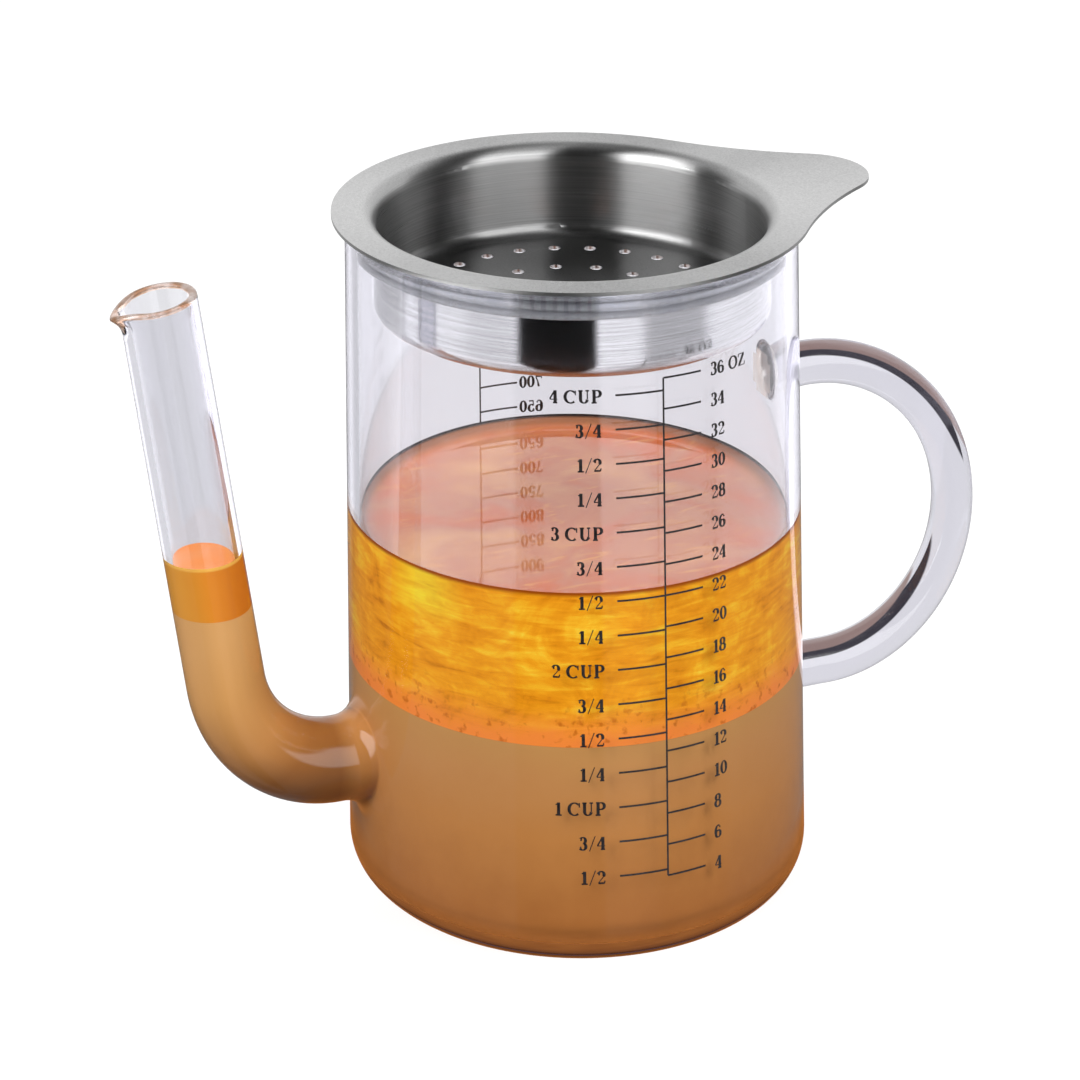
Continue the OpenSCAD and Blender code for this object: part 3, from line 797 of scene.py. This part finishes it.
# Painted highlight along the fat's upper edge in the spout
edge_highlight = add(tree, "MapRange", {"Value": z, **mm_range(SPOUT_FAT_Z - 0.9, SPOUT_FAT_Z - 0.5)})
in_tube = add(tree, "Mix", {"Factor": edge_highlight, "A": in_tube, "B": "#ffc25a"}, data_type="RGBA")
in_spout = add(tree, "MapRange", {"Value": x, **SPOUT_SIDE})
fat_colour = add(tree, "Mix", {"Factor": in_spout, "A": fat_colour, "B": in_tube}, data_type="RGBA")
body = add(tree, "BsdfPrincipled", {"Base Color": fat_colour, "Roughness": 0.9, "Specular IOR Level": 0.0})
add(tree, "OutputMaterial", {"Surface": body})

# Its free surface is as smooth as a mirror. Seen from above it is rosier, because
# the gravy's red-brown shows through.
surface_mat, tree = material("fat_surface")
place = add(tree, "TexCoord").outputs["Object"]
height = add(tree, "SeparateXYZ", {"Vector": place}).outputs["Z"]
pool = add(tree, "TexNoise", {"Vector": place, "Scale": every(26), "Detail": 6.0, "Distortion": 0.8})
rosy = add(tree, "ValToRGB", {"Fac": pool}, [(0.33, "#c2602e"), (0.5, "#bb7553"), (0.72, "#cf9462")])
# Pale threads of fat drift on it
drawn_out = add(tree, "Mapping", {"Vector": place, "Scale": (0.35, 1.6, 1)})
threads = {"Vector": drawn_out, "Scale": every(3.5), "Detail": 5.0, "Distortion": 1.2}
threads = add(tree, "TexNoise", threads)
threads = add(tree, "MapRange", {"Value": threads, "From Min": 0.57, "From Max": 0.72, "To Max": 0.55})
rosy = add(tree, "Mix", {"Factor": threads, "A": rosy, "B": "#dc9a52"}, data_type="RGBA")
# At the glass it is painted greyer, a painted reflection, with a painted dark line of shade where its edge
# turns away
creep = add(tree, "MapRange", {"Value": height, **mm_range(FAT_Z + 0.3, FAT_Z + 1.4), "To Max": 0.8})
rosy = add(tree, "Mix", {"Factor": creep, "A": rosy, "B": "#94694e"}, data_type="RGBA")
brink_shade = add(tree, "MapRange", {"Value": height, **mm_range(FAT_Z + 2.1, FAT_Z + 2.6)})
rosy = add(tree, "Mix", {"Factor": brink_shade, "A": rosy, "B": "#302a28"}, data_type="RGBA")
look = {"Base Color": rosy, "Roughness": 0.04, "IOR": 1.47, "Specular IOR Level": 0.8}
body = add(tree, "BsdfPrincipled", {**look, "Coat Weight": 0.5, "Coat Roughness": 0.02})
add(tree, "OutputMaterial", {"Surface": body})

# In the spout the surface is small and mirrors only the dull tube round it.
tube_surface_mat, tree = material("fat_surface_in_spout")
place = add(tree, "TexCoord").outputs["Object"]
pool = add(tree, "TexNoise", {"Vector": place, "Scale": every(7), "Detail": 3.0})
pale = add(tree, "ValToRGB", {"Fac": pool}, [(0.35, "#cf7529"), (0.7, "#cc7f44")])
look = {"Base Color": pale, "Roughness": 0.12, "IOR": 1.47, "Specular IOR Level": 0.4}
add(tree, "OutputMaterial", {"Surface": add(tree, "BsdfPrincipled", look)})

fat_skin = Skin()
bottom_z = GRAVY_Z + FAT_GAP
profile = [(r, bottom_z) for r in (4, 20, 46, WET_R)] + [(WET_R, FAT_Z + CREEP_H)]
for inward in (0.1, 0.4, 0.8, 1.3, 2, 3, 4.2, 6):
    profile.append((BORE_R - inward, FAT_Z + CREEP_H * math.exp(-inward / CREEP_W)))
profile += [(r, FAT_Z) for r in (40, 20, 4)]
rings = fat_skin.lathe(profile)
fat_skin.bridge_all(rings)
fat_skin.cap(rings[0], 0, 0, bottom_z)
fat_skin.cap(rings[-1], 0, 0, FAT_Z)
fat = fat_skin.build("fat", fat_mat)

# Its round rings keep clear of the level cuts at both its ends
spout_fat_skin = Skin()
column = [p for p in spout_path if SPOUT_GRAVY_Z + 2.2 <= p[1] <= SPOUT_FAT_Z - CUT_ROOM]
rings = spout_part(spout_fat_skin, column, SPOUT_GRAVY_Z + FAT_GAP, SPOUT_FAT_Z)
spout_fat_skin.bridge_all(rings)
cap_level(spout_fat_skin, rings[0])
cap_level(spout_fat_skin, rings[-1])
spout_fat = spout_fat_skin.build("fat_in_spout", fat_mat)
for liquid, surface in ((fat, surface_mat), (spout_fat, tube_surface_mat)):
    liquid.data.materials.append(surface)
    for face in liquid.data.polygons:
        face.material_index = int(face.normal.z > 0.2)
    liquid.data.set_sharp_from_angle(angle=math.radians(40))
    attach(liquid, "jug")

# ---- Studio ----
# A plain white floor that keeps the jug's shadow. What glass and steel show of the
# studio is in the world: white all round, lit screens, a dark gap behind the
# camera and the edge of a brown table.
FLOOR_SIDE, FLOOR_GAP = 6000, 0.05  # half its side, and how far it lies under the foot
WARM_R, WARM_EDGE_R = 62, 70
floor_mat, tree = material("white_studio_floor")
path = add(tree, "LightPath")
paint = add(tree, "BsdfDiffuse", {"Color": "#f2f2f2"})
glow = add(tree, "Emission", {"Color": (1, 1, 1, 1), "Strength": 1.0})
share = add(tree, "Math", {0: path.outputs["Is Camera Ray"], 1: 0.82}, operation="MULTIPLY")
seen = add(tree, "MixShader", {0: share, 1: paint, 2: glow})
# Glass and steel look through it, but for a disc under the foot that glows in the gravy's colour: painted
# light, standing in for the gravy's colour cast on the floor
place = add(tree, "TexCoord").outputs["Object"]
out = add(tree, "VectorMath", {0: place}, operation="LENGTH")
near = add(tree, "MapRange", {"Value": out, **mm_range(WARM_R, WARM_EDGE_R), **FALLING})
gravy_glow_disc = add(tree, "Emission", {"Color": "#b06c36", "Strength": 1.0})
clear = add(tree, "MixShader", {0: near, 1: add(tree, "BsdfTransparent"), 2: gravy_glow_disc})
bounced = {0: path.outputs["Is Glossy Ray"], 1: path.outputs["Is Transmission Ray"]}
bounced = add(tree, "Math", bounced, operation="MAXIMUM")
add(tree, "OutputMaterial", {"Surface": add(tree, "MixShader", {0: bounced, 1: seen, 2: clear})})
floor_skin = Skin()
corners = ((-1, -1), (1, -1), (1, 1), (-1, 1))
floor_skin.faces.append(floor_skin.ring([(x * FLOOR_SIDE, y * FLOOR_SIDE, -FLOOR_GAP) for x, y in corners]))
studio_floor = floor_skin.build("studio_floor", floor_mat, smooth=False)

CAMERA_TURN = -111.5  # where the camera stands, in degrees from +X
world = bpy.data.worlds.new("studio")
world.use_nodes = True
bpy.context.scene.world = world
tree = world.node_tree
tree.nodes.clear()
way = add(tree, "SeparateXYZ", {"Vector": add(tree, "TexCoord").outputs["Generated"]})
turn = add(tree, "Math", {0: way.outputs["Y"], 1: way.outputs["X"]}, operation="ARCTAN2")


def between(value, low, high, soft):
    """1 where value is between low and high, falling to 0 over soft beyond them."""
    rising = {"Value": value, "From Min": low - soft, "From Max": low}
    rising = add(tree, "MapRange", rising, interpolation_type="SMOOTHSTEP")
    falling = {"Value": value, "From Min": high, "From Max": high + soft, **FALLING}
    falling = add(tree, "MapRange", falling, interpolation_type="SMOOTHSTEP")
    return add(tree, "Math", {0: rising, 1: falling}, operation="MULTIPLY")


def screen(under, light, middle, half, low, high, soft=8):
    """Lays a lit or dark screen over the studio: its turn, half width, foot and head are in degrees."""
    off = add(tree, "Math", {0: turn, 1: math.radians(middle)}, operation="SUBTRACT")
    off = add(tree, "Math", {0: off, 1: math.pi, 2: -math.pi}, operation="WRAP")
    across = between(off, -math.radians(half), math.radians(half), math.radians(soft))
    sines = [math.sin(math.radians(a)) for a in (low, high)]
    upright = between(way.outputs["Z"], *sines, math.radians(soft))
    inside = add(tree, "Math", {0: across, 1: upright}, operation="MULTIPLY")
    return add(tree, "Mix", {"Factor": inside, "A": under, "B": light}, data_type="FLOAT")


path = add(tree, "LightPath")
once_mirrored = add(tree, "Math", {0: path.outputs["Glossy Depth"], 1: 0.5}, operation="GREATER_THAN")
through = add(tree, "Math", {0: path.outputs["Transmission Depth"], 1: 0.5}, operation="GREATER_THAN")
# The jug's own outside mirrors little of the table, as through a polarising filter.
table_light = add(tree, "MapRange", {"Value": through, "To Min": 0.2, "To Max": 1.9})
# The screens at the sides would be too strong for the fat, which lies behind glass.
left_light = add(tree, "MapRange", {"Value": through, "To Min": 4.6, "To Max": 0.6})
right_light = add(tree, "MapRange", {"Value": through, "To Min": 3.0, "To Max": 0.6})
# The table is lit unevenly: it is dim to the right of the camera and far to the left,
# and half lit to the left of the camera.
dim = add(tree, "Math", {0: table_light, 1: 0.52}, operation="MULTIPLY")
half_lit = add(tree, "Math", {0: table_light, 1: 0.8}, operation="MULTIPLY")
in_steel = screen(0.08, table_light, 0, 180, -90, -4)
in_steel = screen(in_steel, dim, CAMERA_TURN + 60, 15, -90, -4, 10)
in_steel = screen(in_steel, half_lit, CAMERA_TURN - 47, 9, -90, -4, 12)
in_steel = screen(in_steel, dim, CAMERA_TURN - 132, 18, -90, -4, 10)
# Behind the jug the studio is white, and overhead it is half as bright. Two screens
# flank the camera, and the gap between them is black.
in_steel = screen(in_steel, 0.98, CAMERA_TURN + 180, 62, -4, 40, 12)
in_steel = screen(in_steel, 0.5, 0, 180, 78, 90, 2)
in_steel = screen(in_steel, left_light, CAMERA_TURN - 54, 20, 4, 42)
in_steel = screen(in_steel, right_light, CAMERA_TURN + 38, 20, 4, 42)
in_steel = screen(in_steel, 0.0, CAMERA_TURN - 9, 20, -75, 75, 4)
# The table's dark edge and brown top lie low on the far side, and only light
# that the glass bends strongly comes from there.
dark = screen(0.0, 1.0, CAMERA_TURN + 175, 34, -40, -30, 1.5)
brown = screen(0.0, 1.0, CAMERA_TURN + 180, 75, -90, -41, 2)
table = add(tree, "Mix", {"Factor": brown, "A": (1, 1, 1, 1), "B": "#a98f86"}, data_type="RGBA")
table = add(tree, "Mix", {"Factor": dark, "A": table, "B": "#454249"}, data_type="RGBA")
room = add(tree, "Background", {"Color": (1, 1, 1, 1), "Strength": 0.92})
mirrored = add(tree, "Background", {"Color": (1, 1, 1, 1), "Strength": in_steel})
bent = add(tree, "Background", {"Color": table, "Strength": 1.0})
white = add(tree, "Background", {"Color": (1, 1, 1, 1), "Strength": 1.0})
mix = add(tree, "MixShader", {0: path.outputs["Is Transmission Ray"], 1: room, 2: bent})
mix = add(tree, "MixShader", {0: once_mirrored, 1: mix, 2: mirrored})
mix = add(tree, "MixShader", {0: path.outputs["Is Camera Ray"], 1: mix, 2: white})
add(tree, "OutputWorld", {"Surface": mix})


def lamp(name, at, size, power, aim=(0, 0, 0.08)):
    made = bpy.data.objects.new(name, bpy.data.lights.new(name, "AREA"))
    made.data.shape = "RECTANGLE"
    made.data.size, made.data.size_y = size
    made.data.energy = power
    made.location = at
    made.rotation_mode = "QUATERNION"
    made.rotation_quaternion = (Vector(aim) - Vector(at)).to_track_quat("-Z", "Y")
    # Steel, glass and fat show the screens in the world and not the lamps
    made.visible_glossy = False
    made.visible_transmission = False
    bpy.context.collection.objects.link(made)


lamp("softbox_left", (-0.9, -0.5, 0.8), (0.5, 0.9), 15)
lamp("softbox_right", (0.7, -0.7, 0.7), (0.4, 0.8), 10)
lamp("softbox_top", (0.1, 0.4, 1.2), (0.9, 0.6), 9)
